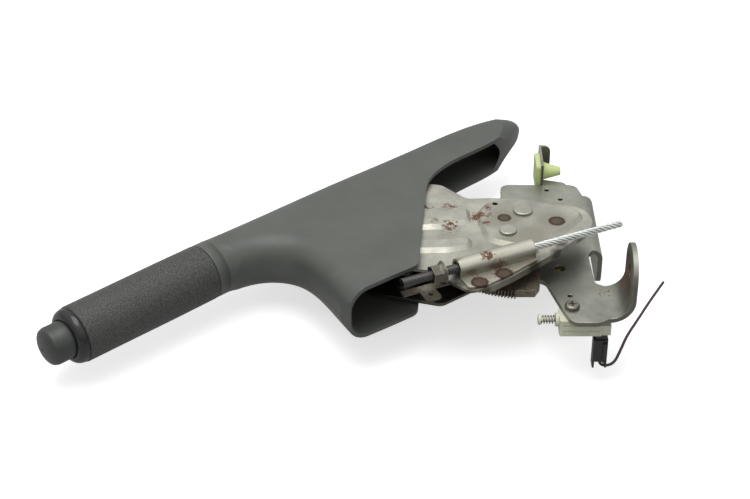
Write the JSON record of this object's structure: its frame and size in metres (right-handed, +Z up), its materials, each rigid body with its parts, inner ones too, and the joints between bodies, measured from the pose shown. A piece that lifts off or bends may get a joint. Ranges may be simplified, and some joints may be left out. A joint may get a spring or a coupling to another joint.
{
  "type": "handbrake lever",
  "caption": "Car handbrake lever pulled up, with moulded cover, push-button grip, toothed quadrant and pawl, cable adjuster, lamp switch and floor bracket.",
  "frame": {"origin": "centre of the front foot's bolt hole, on the foot's underside, where it stands on the floor", "axes": "+X forward, along the foot and towards the button; +Y to the side that the cable runs on; +Z up from the floor"},
  "size_m": [0.2624, 0.0898, 0.3853],
  "materials": {
    "grip_leather": "fine leather grain, satin",
    "cover_plastic": "satin moulding",
    "dark_plastic": "satin",
    "button_plastic": "satin",
    "plated_steel": "dull zinc plate with rust specks",
    "sector_steel": "machined edge",
    "dark_steel": "oily dark steel",
    "rod_steel": "bright",
    "yellow_zinc": "yellow zinc plate",
    "cable_steel": "stranded wire",
    "cream_plastic": "satin",
    "green_nylon": "translucent nylon",
    "brass": "plain",
    "wire_sleeve": "matt"
  },
  "bodies": {
    "bracket": {"bracket_plate": "plated_steel", "ratchet_sector": "sector_steel", "sector_rivets": "plated_steel", "weld_nut": "yellow_zinc", "console_tab": "plated_steel", "console_grommet": "green_nylon", "switch_body": "cream_plastic", "terminal_blades": "brass", "switch_screw": "plated_steel", "switch_spring": "dark_steel", "wire_plug": "dark_plastic", "switch_wire": "wire_sleeve"},
    "plunger": {"switch_plunger": "cream_plastic"},
    "lever": {"lever_cheek_left": "plated_steel", "lever_cheek_right": "plated_steel", "lever_tube": "plated_steel", "grip_sleeve": "grip_leather", "grip_collar": "dark_plastic", "trim_cover": "cover_plastic", "button_guide": "dark_plastic", "button_spring": "dark_steel", "pawl_pin": "rod_steel", "pawl_spring": "dark_steel", "pivot_bush": "rod_steel", "pivot_rivet": "plated_steel", "stop_rivet": "plated_steel", "cable_guide": "plated_steel", "rod_clip": "plated_steel"},
    "button": {"button_cap": "button_plastic", "release_rod": "rod_steel"},
    "pawl": {"pawl": "dark_steel"},
    "nut": {"adjuster_nut": "plated_steel"},
    "rod": {"adjuster_rod": "dark_steel", "brake_cable": "cable_steel"}
  },
  "joints": [
    {"name": "lever_pull", "type": "hinge", "parent": "bracket", "child": "lever", "pos_m": [-0.07, -0.015, 0.0615], "axis": [0, -1, 0], "range_deg": [-40, 3]},
    {"name": "button_press", "type": "slide", "parent": "lever", "child": "button", "axis": [0.673, 0, 0.7396], "range_m": [-0.006, 0], "stiffness_N_per_m": 400, "springref_m": 0.004, "deforming": ["button_spring"]},
    {"name": "pawl_release", "type": "hinge", "parent": "lever", "child": "pawl", "pos_m": [-0.02396, -0.015, 0.13588], "axis": [0, -1, 0], "range_deg": [0, 11.5], "deforming": ["pawl_spring"]},
    {"name": "nut_turn", "type": "hinge", "parent": "lever", "child": "nut", "pos_m": [0.00367, 0.0005, 0.1175], "axis": [0.4274, 0, 0.9041], "range_deg": [-1085, 1085]},
    {"name": "rod_draw", "type": "slide", "parent": "lever", "child": "rod", "axis": [0.4274, 0, 0.9041], "range_m": [-0.003, 0.003]},
    {"name": "plunger_press", "type": "slide", "parent": "bracket", "child": "plunger", "axis": [0, 0, 1], "range_m": [-0.005, 0], "stiffness_N_per_m": 250, "springref_m": 0.004, "deforming": ["switch_spring"]}
  ],
  "couplings": [
    {"joint": "pawl_release", "follows": "button_press", "rad_per_m": -33.33},
    {"joint": "nut_turn", "follows": "rod_draw", "rad_per_m": 6283.2}
  ]
}
